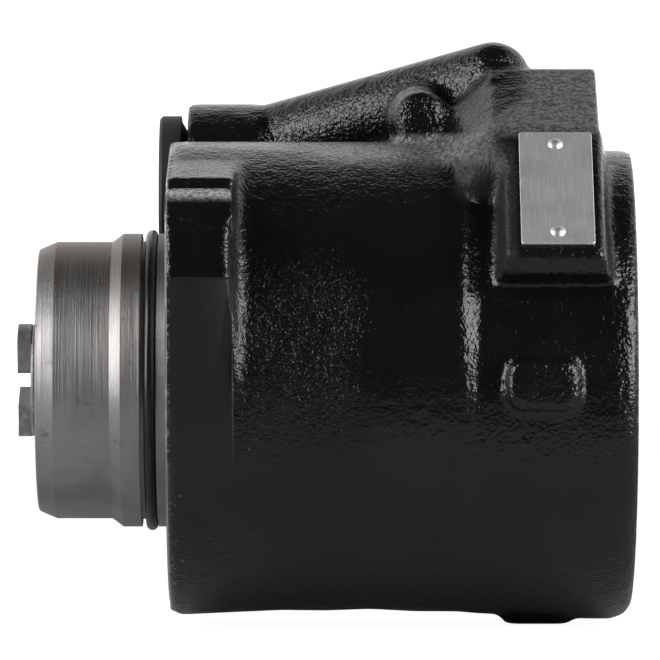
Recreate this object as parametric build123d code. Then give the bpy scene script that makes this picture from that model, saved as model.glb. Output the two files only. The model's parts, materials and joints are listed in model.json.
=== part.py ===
from build123d import *
import os
from math import cos, radians, sin, sqrt

# Hydraulic vane pump for a vehicle steering circuit.
# X runs along the drive shaft, from the drive end (-X) to the rear cover (+X). Z is up.
# The origin is where the shaft axis crosses the flange mounting face. Millimetres.

os.makedirs("parts", exist_ok=True)

# ---------------------------------------------------------------- fits
RUNNING = 0.03        # radial play of a piece that turns in a bore
SLIDING = 0.02        # play of a piece that slides in a slot or a bore
FACE_PLAY = 0.04      # end play of the rotor and the vanes between their plates

# ---------------------------------------------------------------- housing, along X
NOSE_END = -35.6      # front end of the machined spigot
FLANGE_BACK = 18.4
FLANGE_TOP = 65.0     # height of the shoulder line over the shaft axis
FLANGE_FOOT = 63.2    # the same for the lower half, which runs out in the barrel
EAR_BACK = 17.4
FLANGE_FILLET = 4.4   # hollow between the back of the flange and the front barrel
HOUSING_END = 125.4

# spigot diameters
NOSE_R = 37.75
PILOT_R = 40.0
GROOVE_R = 37.9
GROOVE_FRONT = -7.5
GROOVE_BACK = -3.0

# barrels: round sections along the shaft, each with its x, its radius and its height above the axis
BARREL_R = 63.9
BARREL_Z = 1.1
BARREL_SECTIONS = [
    (0.0, 64.5, 0.55),          # foot of the flange
    (4.0, 64.5, 0.55),
    (30.0, BARREL_R, BARREL_Z),  # front barrel
    (79.0, 64.1, 0.9),
    (83.0, 62.6, -1.0),         # the step down to the tapered rear barrel
    (114.0, 63.9, -1.2),
    (120.0, 63.9, -1.2),
    (123.6, 63.2, -0.6),        # rounding of the rear edge, fuller underneath
    (HOUSING_END, 61.8, 0.4),
]

# inside bores
BEARING_BORE_R = 26.0
BEARING_FRONT = -30.5
BEARING_BACK = -15.5
BEARING_RING_WIDTH = 2.0
SEAL_BORE_R = 20.0
SEAL_BACK = -6.5
PASSAGE_R = 14.5
BUSH_SEAT_R = 14.0
BUSH_FRONT = 27.0
BUSH_BACK = 49.0
POT_R = 50.0
POT_FLOOR = 52.0

# ---------------------------------------------------------------- pump cartridge, along X
CAM_FRONT = 62.0
CAM_BACK = 92.0
CAM_OUTER_R = 44.0
CAM_MINOR_R = 34.0
CAM_MAJOR_R = 37.5
CAM_MAJOR_DWELL = 20.0   # half angle of the arc held at the major radius, degrees
CAM_MINOR_DWELL = 18.0   # half angle of the arc held at the minor radius, degrees
ROTOR_R = 33.5
ROTOR_BORE_R = 11.0
VANE_COUNT = 10
VANE_THICKNESS = 2.0
VANE_TIP_R = 33.9
VANE_ROOT_R = 20.0
SLOT_HOLE_R = 1.8
SLOT_HOLE_AT = 18.6
REAR_PLATE_BACK = 104.0
COVER_FRONT = 106.5
COVER_BACK = 121.3
SNAP_RING_WIDTH = 2.5
PIN_R = 2.5
PIN_AT_R = 39.3

# ---------------------------------------------------------------- shaft and coupling
HUB_R = 15.35
HUB_BORE_R = 9.0
HUB_FACE = -37.5
CLAW_END = -41.3
CLAW_WIDTH = 12.9
CLAW_GAP = 9.4
CLAW_TURN = 23.0         # turn of the claws about the shaft at rest, degrees
SHAFT_R = 12.5
SEAL_TRACK_R = 14.0
JOURNAL_R = 9.0
SHAFT_END = 105.0

# ---------------------------------------------------------------- roller bearing 25 x 52 x 15
ROLLER_R = 3.5
ROLLER_PITCH_R = 18.7
ROLLER_COUNT = 12
ROLLER_LENGTH = 8.6
INNER_RACE_R = ROLLER_PITCH_R - ROLLER_R - SLIDING
OUTER_RACE_R = ROLLER_PITCH_R + ROLLER_R + SLIDING

# ---------------------------------------------------------------- flow control valve, along Y
VALVE_X = 68.4
VALVE_Z = 71.2
VALVE_BOSS_R = 9.5
VALVE_BORE_R = 7.0
VALVE_DOME_R = 8.0
VALVE_DOME_NEAR = -12.0
VALVE_BORE_NEAR = 4.0
VALVE_SPRING_FREE = 15.0
SPOOL_NEAR = VALVE_BORE_NEAR + VALVE_SPRING_FREE
SPOOL_LENGTH = 26.0
SPOOL_FAR = SPOOL_NEAR + SPOOL_LENGTH
SPOOL_WAIST = 5.0
VALVE_THREAD = 9.0
VALVE_BOSS_FAR = SPOOL_FAR + 0.3 + 2.0 + VALVE_THREAD
SPOOL_BORE_R = 3.6
RELIEF_BALL_R = 2.3
RELIEF_SEAT_R = 1.4
RELIEF_SEAT_DEPTH = 9.0
GUIDE_SCREW_LENGTH = 3.2
VALVE_PLUG_HEX = 17.0

# ---------------------------------------------------------------- ports
SUCTION_Y = 51.0
SUCTION_Z = 51.0
SUCTION_BOSS_R = 26.0
SUCTION_FACE = 4.0
SUCTION_BOSS_BACK = 27.0
SUCTION_BORE_R = 17.2
SUCTION_DEPTH = 22.0
GALLERY_NOSE_R = 10.4
GALLERY_FOOT_R = 12.5
GALLERY_NOSE = Vector(88.3, 8.0, 82.3)
GALLERY_FOOT = Vector(24.0, 50.0, 63.4)
RAMP_FRONT = 66.0        # where the ramp leaves the front barrel
RAMP_BACK = 88.7         # where it has reached the roof of the block
BLOCK_FRONT = 86.7
BLOCK_BACK = 116.0
BLOCK_TOP = 84.8
PRESSURE_X = 104.0
PRESSURE_Y = 23.0
PRESSURE_BORE_R = 8.25
PRESSURE_DEPTH = 16.0

# ---------------------------------------------------------------- flange bolts
BOLT_PCD = 134.0
BOLT_TURN = 143.47       # turn of the near bolt about the shaft, degrees
BOLT_BORE_R = 5.1        # core of an M12 thread

# ---------------------------------------------------------------- name plate
PAD_FRONT = 90.3
PAD_BACK = 116.2
PLATE_X = 103.9
PLATE_FACET = 72.2       # distance of the 45 degree facet from the shaft axis
PLATE_WIDTH = 19.5
PLATE_LENGTH = 42.7
PLATE_THICKNESS = 0.8
RIVET_R = 2.3
RIVET_SPACING = 34.0


def across(x):
    """A plane square to the shaft at x, with its own axes along Y and Z."""
    return Plane(origin=(x, 0, 0), x_dir=(0, 1, 0), z_dir=(1, 0, 0))


def disc(x0, x1, radius, y=0.0, z=0.0):
    """A solid cylinder along the shaft, from x0 to x1."""
    circle = across(x0) * Pos(y, z) * Circle(radius)
    return extrude(circle, amount=x1 - x0)


def ring(x0, x1, outer, inner):
    """A plain ring about the shaft."""
    return disc(x0, x1, outer) - disc(x0 - 1, x1 + 1, inner)


def bar_along_y(y0, y1, radius, x=VALVE_X, z=VALVE_Z):
    """A solid cylinder along Y, from y0 to y1."""
    plane = Plane(origin=(x, y0, z), x_dir=(0, 0, 1), z_dir=(0, 1, 0))
    return extrude(plane * Circle(radius), amount=y1 - y0)


def turned(*profile):
    """A turned piece: a closed outline of (x, radius) points, turned about the shaft."""
    outline = Plane.XZ * make_face(Polyline(*profile, close=True))
    return revolve(outline, axis=Axis.X)


def o_ring(x, radius, section):
    """A round cord of the given section radius, centred on the given ring radius."""
    cord = Plane.XZ * Pos(x, radius) * Circle(section)
    return revolve(cord, axis=Axis.X)


def inner_ring(x, radius, section):
    """A cord that lies inside the pump: eight flats round the same section."""
    cord = Plane.XZ * Pos(x, radius) * RegularPolygon(section, 8, major_radius=False, rotation=22.5)
    return revolve(cord, axis=Axis.X)


def outline_block(x0, x1, points, corner=0.0, rounded=()):
    """A block with a YZ outline, from x0 to x1; the corners listed by number are rounded."""
    face = make_face(Polyline(*points, close=True))
    if rounded:
        spots = [Vector(*points[number]) for number in rounded]
        corners = [v for v in face.vertices() if min((Vector(v) - s).length for s in spots) < 0.01]
        face = fillet(corners, corner)
    return extrude(across(x0) * face, amount=x1 - x0)


def turn_about_shaft(shape, angle):
    return shape.rotate(Axis.X, angle)


def half_turn(shape):
    """The same shape, half a turn round the shaft."""
    return turn_about_shaft(shape, 180)


# ---------------------------------------------------------------- housing
def spigot():
    """The machined pilot: nose with a lead-in, a step up to the pilot land, the O-ring groove."""
    return turned(
        (NOSE_END, 0),
        (NOSE_END, 35.2),
        (NOSE_END + 0.35, 35.8),
        (-30.7, NOSE_R),
        (-15.6, NOSE_R),
        (-12.6, PILOT_R),
        (GROOVE_FRONT, PILOT_R),
        (GROOVE_FRONT, GROOVE_R),
        (GROOVE_BACK, GROOVE_R),
        (GROOVE_BACK, PILOT_R),
        (1, PILOT_R),
        (1, 0),
    )


def barrels():
    """The cast body: a flange foot, the front barrel, a step and the tapered rear barrel."""
    sections = [across(x) * Pos(0, z) * Circle(radius) for x, radius, z in BARREL_SECTIONS]
    body = loft(sections, ruled=True)
    return fillet(body.edges().group_by(Axis.X)[0], 3.6)


def hollow_ring(x_wall, x_out, height):
    """A ring round the front barrel with a hollow quarter-round from its surface up to a wall."""
    radius = abs(x_wall - x_out)
    sink = 6.0
    lean = radius * (1 - cos(radians(45)))
    middle_x = x_out + (x_wall - x_out) * sin(radians(45))
    profile = make_face([
        Line((x_wall, BARREL_R - sink), (x_out, BARREL_R - sink)),
        Line((x_out, BARREL_R - sink), (x_out, BARREL_R)),
        ThreePointArc((x_out, BARREL_R), (middle_x, BARREL_R + lean), (x_wall, BARREL_R + radius)),
        Line((x_wall, BARREL_R + radius), (x_wall, BARREL_R - sink)),
    ])
    wall = disc(min(x_wall, x_out), max(x_wall, x_out), BARREL_R + height)
    ring_shape = revolve(Plane.XZ * profile, axis=Axis.X) & wall
    return Pos(0, 0, BARREL_Z) * ring_shape


def shoulder_outline(top):
    """The sloping shoulder of the flange, seen along the shaft."""
    return [(0, top), (-52, top - 11), (-52, top - 27), (0, 0)]


def ear_outline(top):
    """The ear that takes the bolt, seen along the shaft; it runs out on the side of the barrel."""
    return [(-30, top - 13.7), (-67, top - 13.7), (-67, top - 37), (-66, top - 60),
            (-61, top - 85), (-30, top - 75)]


def flange_ear(top):
    """One side of the flange: shoulder, ear and the hollow behind them."""
    shoulder = outline_block(0, FLANGE_BACK, shoulder_outline(top), corner=0.9, rounded=(1,))
    ear = outline_block(0, EAR_BACK, ear_outline(top), corner=5.2, rounded=(1,))
    ear = fillet(ear.edges().filter_by(Axis.X, reverse=True).group_by(Axis.X)[-1]
                 .sort_by(Axis.Y)[:3], 1.2)
    hollow = hollow_ring(FLANGE_BACK - 0.6, FLANGE_BACK - 0.6 + FLANGE_FILLET, FLANGE_FILLET)
    reach = FLANGE_BACK + FLANGE_FILLET
    hollow = hollow & (outline_block(0, reach, shoulder_outline(top))
                       + outline_block(0, reach, ear_outline(top)))
    return shoulder + ear + hollow


def flange():
    near_ear = flange_ear(FLANGE_TOP)
    far_ear = half_turn(flange_ear(FLANGE_FOOT))
    return near_ear + far_ear


def casting_pad():
    """A low rounded pad on the near side of the rear barrel."""
    face = Plane(origin=(100.1, -56.0, -0.9), x_dir=(1, 0, 0), z_dir=(0, -1, 0))
    pad = extrude(face * RectangleRounded(19.6, 13.6, 4.5), amount=10.5)
    return fillet(pad.faces().sort_by(Axis.Y)[0].edges(), 2.4)


def casting_pads():
    """Three pads a quarter turn apart, on the sides and underneath."""
    near = casting_pad()
    return near + turn_about_shaft(near, 90) + turn_about_shaft(near, 180)


def port_block():
    """The block with the pressure port on top, and the ramp that rises to it from the barrel."""
    lift = PLATE_FACET * sqrt(2)
    outline = [(-34.3, lift - 34.3), (-5.0, BLOCK_TOP), (36.0, BLOCK_TOP), (39.0, 46.0), (-34.3, 46.0)]
    block = outline_block(BLOCK_FRONT, BLOCK_BACK, outline, corner=3.0, rounded=(2,))
    roof = [(-40.0, lift - 40.0)] + outline[:4] + [(-40.0, 44.0)]
    foot = [(-40.0, 36.0), (-30.0, 52.0), (-5.0, 64.0), (16.0, 61.0), (30.0, 40.0), (-40.0, 30.0)]
    ramp = loft([across(RAMP_FRONT) * make_face(Polyline(*foot, close=True)),
                 across(RAMP_BACK) * make_face(Polyline(*roof, close=True))], ruled=True)
    return block + ramp


def plate_pad():
    """The drafted pad that carries the name plate: three rectangles at falling distances from the axis."""
    def level(distance, low, high, front, back):
        reach = distance / sqrt(2)
        plane = Plane(origin=(0, -reach, reach), x_dir=(1, 0, 0), z_dir=(0, -1, 1))
        middle = Pos((front + back) / 2, (low + high) / 2)
        return plane * middle * Rectangle(back - front, high - low)

    return loft([
        level(PLATE_FACET, -24.5, 23.7, PAD_FRONT, PAD_BACK),
        level(66.0, -26.2, 23.7, PAD_FRONT - 1.1, PAD_BACK + 1.1),
        level(56.0, -20.5, 23.7, PAD_FRONT - 3.4, PAD_BACK + 3.6),
    ], ruled=True)


def gallery():
    """The diagonal cast tube from the suction boss up to its round nose, with a web below it."""
    run = GALLERY_NOSE - GALLERY_FOOT
    level = run.cross(Vector(0, 0, 1))
    plane = Plane(origin=GALLERY_FOOT, x_dir=level, z_dir=run)
    tube = loft([plane * Circle(GALLERY_FOOT_R), plane.offset(run.length) * Circle(GALLERY_NOSE_R)])
    web = extrude(plane * Pos(0, GALLERY_NOSE_R) * Rectangle(1.5 * GALLERY_NOSE_R, 2 * GALLERY_NOSE_R),
                  amount=run.length)
    nose = Pos(GALLERY_NOSE) * Sphere(GALLERY_NOSE_R)
    foot = Pos(GALLERY_FOOT) * Sphere(GALLERY_FOOT_R)
    return tube + web + nose + foot


def suction_boss():
    boss = disc(SUCTION_FACE, SUCTION_BOSS_BACK, SUCTION_BOSS_R, SUCTION_Y, SUCTION_Z)
    boss = fillet(boss.edges().group_by(Axis.X)[-1], 4.0)
    return fillet(boss.edges().group_by(Axis.X)[0], 0.8)


def valve_boss():
    """The boss of the flow control valve: a domed near end, a thicker part and a rib under it."""
    dome = bar_along_y(VALVE_DOME_NEAR, VALVE_BORE_NEAR, VALVE_DOME_R)
    dome = fillet(dome.edges().group_by(Axis.Y)[0], 5.0)
    boss = bar_along_y(VALVE_BORE_NEAR - 2.5, VALVE_BOSS_FAR, VALVE_BOSS_R)
    boss = fillet(boss.edges().group_by(Axis.Y)[0], 1.4)
    rib = extrude(Plane(origin=(VALVE_X, 5, 0), x_dir=(0, 1, 0), z_dir=(0, 0, 1))
                  * Pos(21, 0) * Rectangle(42, 11), amount=VALVE_Z)
    inside = disc(RAMP_FRONT - 10, BLOCK_FRONT, BARREL_R - 4)
    return dome + boss + (rib - inside)


def shaft_bores():
    """Everything that is bored about the shaft axis, from the spigot to the pot mouth."""
    nose_mouth = turned(
        (NOSE_END - 1, 0),
        (NOSE_END - 1, BEARING_BORE_R + 2.0),
        (NOSE_END + 1.0, BEARING_BORE_R),
        (BEARING_BACK, BEARING_BORE_R),
        (BEARING_BACK, SEAL_BORE_R),
        (SEAL_BACK, SEAL_BORE_R),
        (SEAL_BACK, PASSAGE_R),
        (BUSH_FRONT, PASSAGE_R),
        (BUSH_FRONT, BUSH_SEAT_R),
        (BUSH_BACK, BUSH_SEAT_R),
        (BUSH_BACK, PASSAGE_R),
        (POT_FLOOR, PASSAGE_R),
        (POT_FLOOR, POT_R),
        (HOUSING_END - 1.0, POT_R),
        (HOUSING_END + 1.0, POT_R + 2.0),
        (HOUSING_END + 1.0, 0),
    )
    bearing_ring_groove = disc(BEARING_FRONT - BEARING_RING_WIDTH, BEARING_FRONT, BEARING_BORE_R + 1.5)
    snap_ring_groove = disc(COVER_BACK, COVER_BACK + SNAP_RING_WIDTH, POT_R + 1.6)
    return nose_mouth + bearing_ring_groove + snap_ring_groove


def drilled_ports():
    """The flange threads, the suction and pressure ports and the valve bore."""
    bolt = turn_about_shaft(disc(-1, FLANGE_BACK + 1, BOLT_BORE_R, y=BOLT_PCD / 2), BOLT_TURN)
    suction = disc(SUCTION_FACE - 1, SUCTION_FACE + SUCTION_DEPTH, SUCTION_BORE_R, SUCTION_Y, SUCTION_Z)
    cap_room = disc(-1, SUCTION_FACE, SUCTION_BOSS_R + 1.0, SUCTION_Y, SUCTION_Z)
    pressure = Pos(PRESSURE_X, PRESSURE_Y, BLOCK_TOP - PRESSURE_DEPTH) * Cylinder(
        PRESSURE_BORE_R, PRESSURE_DEPTH + 1, align=(Align.CENTER, Align.CENTER, Align.MIN))
    valve = bar_along_y(VALVE_BORE_NEAR, VALVE_BOSS_FAR + 1, VALVE_BORE_R)
    return [bolt, half_turn(bolt), suction, cap_room, pressure, valve]


def pump_housing():
    body = barrels() + spigot() + flange() + casting_pads()
    body = body + port_block() + plate_pad() + gallery() + suction_boss() + valve_boss()
    body = body - shaft_bores()
    for bore in drilled_ports():
        body = body - bore
    return body


# ---------------------------------------------------------------- housing fittings
def name_plate():
    """A thin plate on the 45 degree facet, long side up the slope."""
    reach = PLATE_FACET / sqrt(2)
    plane = Plane(origin=(PLATE_X, -reach, reach), x_dir=(1, 0, 0), z_dir=(0, -1, 1))
    plate = extrude(plane * RectangleRounded(PLATE_WIDTH, PLATE_LENGTH, 0.8), amount=PLATE_THICKNESS)
    return plate


def plate_rivets():
    """Two dome-headed rivets on the long centre line of the plate."""
    reach = (PLATE_FACET + PLATE_THICKNESS) / sqrt(2)
    plane = Plane(origin=(PLATE_X, -reach, reach), x_dir=(1, 0, 0), z_dir=(0, -1, 1))
    rivets = []
    for side in (-1, 1):
        head = extrude(plane * Pos(0, side * RIVET_SPACING / 2) * Circle(RIVET_R), amount=1.1)
        top = head.faces().sort_by(Axis((0, 0, 0), (0, -1, 1)))[-1]
        rivets.append(fillet(top.edges(), 0.9))
    return rivets


def suction_port_cap():
    """A moulded transport cap: a flanged disc with a conical neck and a plain push-in shank."""
    profile = Polyline(
        (-3.9, 0), (-3.9, 21.8), (-3.1, 22.6), (2.2, 22.6), (2.3, 21.0), (3.7, 18.6),
        (3.7, SUCTION_BORE_R - 0.06), (15.0, SUCTION_BORE_R - 0.06), (16.0, 16.0),
        (16.0, 14.8), (0.0, 14.8), (0.0, 0), close=True)
    cap = revolve(Plane.XZ * make_face(profile), axis=Axis.X)
    return Pos(0, SUCTION_Y, SUCTION_Z) * cap


# ---------------------------------------------------------------- shaft line
def coupling_hub():
    """The drive dog: a hub with two claws that stand up from its face."""
    hub = turned(
        (HUB_FACE, HUB_BORE_R), (HUB_FACE, HUB_R - 0.5), (HUB_FACE + 0.5, HUB_R),
        (BEARING_FRONT - 0.8, HUB_R), (BEARING_FRONT, HUB_R - 0.8), (BEARING_FRONT, HUB_BORE_R))
    crown = disc(CLAW_END, HUB_FACE, HUB_R) & extrude(
        across(CLAW_END) * Rectangle(CLAW_WIDTH, 4 * HUB_R), amount=HUB_FACE - CLAW_END)
    gap = extrude(across(CLAW_END) * Rectangle(4 * HUB_R, CLAW_GAP), amount=HUB_FACE - CLAW_END)
    claws = [chamfer(claw.edges().group_by(Axis.X)[0], 0.5) for claw in (crown - gap).solids()]
    for claw in claws:
        hub = hub + turn_about_shaft(claw, CLAW_TURN)
    return hub


def drive_shaft():
    body = turned(
        (HUB_FACE, 0), (HUB_FACE, HUB_BORE_R - 1), (HUB_FACE + 1, HUB_BORE_R),
        (BEARING_FRONT, HUB_BORE_R), (BEARING_FRONT, SHAFT_R), (BEARING_BACK, SHAFT_R),
        (BEARING_BACK, SEAL_TRACK_R), (-4.0, SEAL_TRACK_R), (-4.0, SHAFT_R),
        (CAM_FRONT, SHAFT_R), (CAM_FRONT, ROTOR_BORE_R), (CAM_BACK, ROTOR_BORE_R),
        (CAM_BACK, ROTOR_BORE_R - 0.8), (CAM_BACK + 1.5, ROTOR_BORE_R - 0.8),
        (CAM_BACK + 1.5, JOURNAL_R), (SHAFT_END - 1, JOURNAL_R), (SHAFT_END, JOURNAL_R - 1),
        (SHAFT_END, 0))
    centre = turned((HUB_FACE - 0.1, 0), (HUB_FACE - 0.1, 3.1), (HUB_FACE + 5, 0))
    return body - centre


def bearing_inner_race():
    return turned(
        (BEARING_FRONT, SHAFT_R), (BEARING_FRONT, INNER_RACE_R), (BEARING_BACK - 3.0, INNER_RACE_R),
        (BEARING_BACK - 3.0, INNER_RACE_R + 1.4), (BEARING_BACK, INNER_RACE_R + 1.4),
        (BEARING_BACK, SHAFT_R))


def bearing_outer_race():
    rib = 3.0
    return turned(
        (BEARING_FRONT, BEARING_BORE_R), (BEARING_FRONT, OUTER_RACE_R - 1.4),
        (BEARING_FRONT + rib, OUTER_RACE_R - 1.4), (BEARING_FRONT + rib, OUTER_RACE_R),
        (BEARING_BACK - rib, OUTER_RACE_R), (BEARING_BACK - rib, OUTER_RACE_R - 1.4),
        (BEARING_BACK, OUTER_RACE_R - 1.4), (BEARING_BACK, BEARING_BORE_R))


def bearing_rollers():
    middle = (BEARING_FRONT + BEARING_BACK) / 2
    rollers = []
    for number in range(ROLLER_COUNT):
        roller = disc(middle - ROLLER_LENGTH / 2, middle + ROLLER_LENGTH / 2, ROLLER_R, z=ROLLER_PITCH_R)
        rollers.append(turn_about_shaft(roller, 360 / ROLLER_COUNT * number))
    return rollers


def bearing_cage():
    """A machined cage: a thin ring with one window for each roller."""
    middle = (BEARING_FRONT + BEARING_BACK) / 2
    cage = ring(middle - 6.6, middle + 6.6, ROLLER_PITCH_R + 1.4, ROLLER_PITCH_R - 1.2)
    for number in range(ROLLER_COUNT):
        window = disc(middle - ROLLER_LENGTH / 2, middle + ROLLER_LENGTH / 2, ROLLER_R, z=ROLLER_PITCH_R)
        cage = cage - turn_about_shaft(window, 360 / ROLLER_COUNT * number)
    return cage


def split_ring(x0, x1, outer, inner, gap, eye_r, eye_at):
    """A circlip: a thin ring with a gap at the bottom and an eye at each side of it."""
    clip = ring(x0, x1, outer, inner)
    cut = extrude(across(x0) * Pos(0, -outer) * Rectangle(gap, 2 * outer), amount=x1 - x0)
    side = gap / 2 + eye_r
    clip = clip - cut
    for sign in (-1, 1):
        clip = clip + disc(x0, x1, eye_r, sign * side, -sqrt(eye_at ** 2 - side ** 2))
        clip = clip - disc(x0 - 1, x1 + 1, eye_r * 0.45, sign * side, -sqrt(eye_at ** 2 - side ** 2))
    return clip


def bearing_snap_ring():
    return split_ring(BEARING_FRONT - BEARING_RING_WIDTH, BEARING_FRONT,
                      BEARING_BORE_R + 1.5, BEARING_BORE_R - 2.2, 9.0, 2.6, BEARING_BORE_R - 2.9)


def rotor_circlip():
    return split_ring(CAM_BACK, CAM_BACK + 1.5, ROTOR_BORE_R + 1.8, ROTOR_BORE_R - 0.8,
                      4.0, 1.3, ROTOR_BORE_R + 1.3)


def shaft_seal():
    """The rubber-covered lip seal; its lip closes on the shaft track."""
    return turned(
        (SEAL_BACK - 7.0, SEAL_BORE_R), (SEAL_BACK - 7.0, SEAL_TRACK_R + 1.2),
        (SEAL_BACK - 6.0, SEAL_TRACK_R + 1.2), (SEAL_BACK - 3.6, SEAL_TRACK_R + RUNNING),
        (SEAL_BACK - 2.6, SEAL_TRACK_R + RUNNING), (SEAL_BACK - 0.8, SEAL_TRACK_R + 1.0),
        (SEAL_BACK - 0.8, SEAL_TRACK_R + 2.0), (SEAL_BACK - 4.6, SEAL_TRACK_R + 2.0),
        (SEAL_BACK - 5.6, SEAL_TRACK_R + 3.2), (SEAL_BACK - 5.6, SEAL_BORE_R - 1.6),
        (SEAL_BACK, SEAL_BORE_R - 1.6), (SEAL_BACK, SEAL_BORE_R))


def seal_garter_spring():
    return inner_ring(SEAL_BACK - 2.4, SEAL_TRACK_R + 2.7, 0.7)


def front_bush():
    return ring(BUSH_FRONT, BUSH_BACK, BUSH_SEAT_R, SHAFT_R + RUNNING)


# ---------------------------------------------------------------- cartridge
def cam_bore():
    """The two-lobe cam track: major and minor arcs joined by smooth ramps."""
    def point(radius, angle):
        return (radius * cos(radians(angle)), radius * sin(radians(angle)))

    def tangent(angle):
        return (-sin(radians(angle)), cos(radians(angle)))

    edges = []
    for lobe in (0, 180):
        major_end = lobe + CAM_MAJOR_DWELL
        minor_start = lobe + 90 - CAM_MINOR_DWELL
        minor_end = lobe + 90 + CAM_MINOR_DWELL
        next_major = lobe + 180 - CAM_MAJOR_DWELL
        edges.append(ThreePointArc(point(CAM_MAJOR_R, lobe - CAM_MAJOR_DWELL),
                                   point(CAM_MAJOR_R, lobe), point(CAM_MAJOR_R, major_end)))
        edges.append(Spline(point(CAM_MAJOR_R, major_end), point(CAM_MINOR_R, minor_start),
                            tangents=(tangent(major_end), tangent(minor_start))))
        edges.append(ThreePointArc(point(CAM_MINOR_R, minor_start),
                                   point(CAM_MINOR_R, lobe + 90), point(CAM_MINOR_R, minor_end)))
        edges.append(Spline(point(CAM_MINOR_R, minor_end), point(CAM_MAJOR_R, next_major),
                            tangents=(tangent(minor_end), tangent(next_major))))
    return extrude(across(CAM_FRONT - 1) * make_face(edges), amount=CAM_BACK - CAM_FRONT + 2)


def cam_ring():
    cam = disc(CAM_FRONT, CAM_BACK, CAM_OUTER_R) - cam_bore()
    for pin in pin_bars(CAM_FRONT - 1, CAM_BACK + 1):
        cam = cam - pin
    return cam


def pin_bars(x0, x1):
    """Two bars at the thick parts of the cam ring, for the pins and their holes."""
    return [disc(x0, x1, PIN_R, z=side * PIN_AT_R) for side in (-1, 1)]


def locating_pins():
    return pin_bars(CAM_FRONT - 6, CAM_BACK + 8)


def rotor():
    body = ring(CAM_FRONT + FACE_PLAY, CAM_BACK - FACE_PLAY, ROTOR_R, ROTOR_BORE_R)
    slot_width = VANE_THICKNESS + 2 * SLIDING
    slot = extrude(
        across(CAM_FRONT) * Pos(SLOT_HOLE_AT + 10, 0) * Rectangle(20, slot_width),
        amount=CAM_BACK - CAM_FRONT)
    slot = slot + disc(CAM_FRONT, CAM_BACK, SLOT_HOLE_R, SLOT_HOLE_AT, 0)
    for number in range(VANE_COUNT):
        body = body - turn_about_shaft(slot, 360 / VANE_COUNT * number)
    return body


def vane(number):
    """A flat vane with a rounded tip, drawn back into its slot."""
    half = VANE_THICKNESS / 2
    side = VANE_TIP_R - half
    blade = make_face([
        Line((VANE_ROOT_R, -half), (side, -half)),
        ThreePointArc((side, -half), (VANE_TIP_R, 0), (side, half)),
        Line((side, half), (VANE_ROOT_R, half)),
        Line((VANE_ROOT_R, half), (VANE_ROOT_R, -half)),
    ])
    solid = extrude(across(CAM_FRONT + FACE_PLAY) * blade, amount=CAM_BACK - CAM_FRONT - 2 * FACE_PLAY)
    return turn_about_shaft(solid, 360 / VANE_COUNT * number)


def kidney(x0, x1, radius, width, start, sweep):
    """A curved port cut through a plate, from one angle round to another."""
    half = width / 2
    sector = ring(x0, x1, radius + half, radius - half)
    reach = 2 * radius
    wedge = make_face(Polyline(
        (0, 0),
        (reach * cos(radians(start)), reach * sin(radians(start))),
        (reach * 1.2 * cos(radians(start + sweep / 2)), reach * 1.2 * sin(radians(start + sweep / 2))),
        (reach * cos(radians(start + sweep)), reach * sin(radians(start + sweep))), close=True))
    return sector & extrude(across(x0) * wedge, amount=x1 - x0)


def port_plate(x0, x1, groove_front):
    """A side plate of the cartridge, with two pressure and two suction ports and a seal groove."""
    plate = turned(
        (x0, 0), (x0, POT_R - 0.6), (x0 + 0.6, POT_R), (groove_front, POT_R),
        (groove_front, POT_R - 2.8), (groove_front + 3.2, POT_R - 2.8), (groove_front + 3.2, POT_R),
        (x1 - 0.6, POT_R), (x1, POT_R - 0.6), (x1, 0))
    for start in (24, 204):
        plate = plate - kidney(x0 - 1, x1 + 1, 34.8, 4.4, start, 40)
        plate = plate - kidney(x0 - 1, x1 + 1, 34.8, 4.4, start + 92, 40)
    for pin in pin_bars(CAM_FRONT - 6, CAM_BACK + 8):
        plate = plate - pin
    return plate


def front_port_plate():
    return port_plate(POT_FLOOR, CAM_FRONT, POT_FLOOR + 3.4) - disc(0, 200, SHAFT_R + 0.4)


def rear_port_plate():
    plate = port_plate(CAM_BACK, REAR_PLATE_BACK, REAR_PLATE_BACK - 6.6)
    plate = plate - disc(CAM_BACK - 1, CAM_BACK + 2.2, 14.4)
    return plate - disc(0, 200, JOURNAL_R + 2.0)


def rear_bush():
    return ring(CAM_BACK + 2.6, REAR_PLATE_BACK, JOURNAL_R + 2.0, JOURNAL_R + RUNNING)


def front_plate_o_ring():
    return inner_ring(POT_FLOOR + 5.0, POT_R - 1.4, 1.4)


def rear_plate_o_ring():
    return inner_ring(REAR_PLATE_BACK - 5.0, POT_R - 1.4, 1.4)


def cartridge_spring():
    """A conical disc spring between the rear plate and the cover."""
    return turned(
        (REAR_PLATE_BACK, 38.0), (REAR_PLATE_BACK, 40.0), (REAR_PLATE_BACK + 0.9, 40.0),
        (COVER_FRONT, 20.0), (COVER_FRONT, 18.0), (COVER_FRONT - 0.9, 18.0))


def rear_cover():
    """The turned cover that closes the pot, with a raised rim, a dished face and a seal groove."""
    return turned(
        (COVER_FRONT, 0), (COVER_FRONT, POT_R - 0.8), (COVER_FRONT + 0.8, POT_R),
        (COVER_FRONT + 4.0, POT_R), (COVER_FRONT + 4.0, POT_R - 2.8),
        (COVER_FRONT + 7.6, POT_R - 2.8), (COVER_FRONT + 7.6, POT_R), (COVER_BACK, POT_R),
        (COVER_BACK, 36.0), (COVER_BACK - 3.0, 33.0), (COVER_BACK - 3.0, 12.0),
        (COVER_BACK - 1.0, 10.0), (COVER_BACK - 1.0, 0))


def cover_o_ring():
    return inner_ring(COVER_FRONT + 5.8, POT_R - 1.4, 1.4)


def cover_snap_ring():
    clip = ring(COVER_BACK, COVER_BACK + SNAP_RING_WIDTH, POT_R + 1.6, POT_R - 2.4)
    gap = extrude(across(COVER_BACK) * Pos(-40, -35) * Rectangle(14, 16),
                  amount=SNAP_RING_WIDTH)
    return clip - gap


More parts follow.
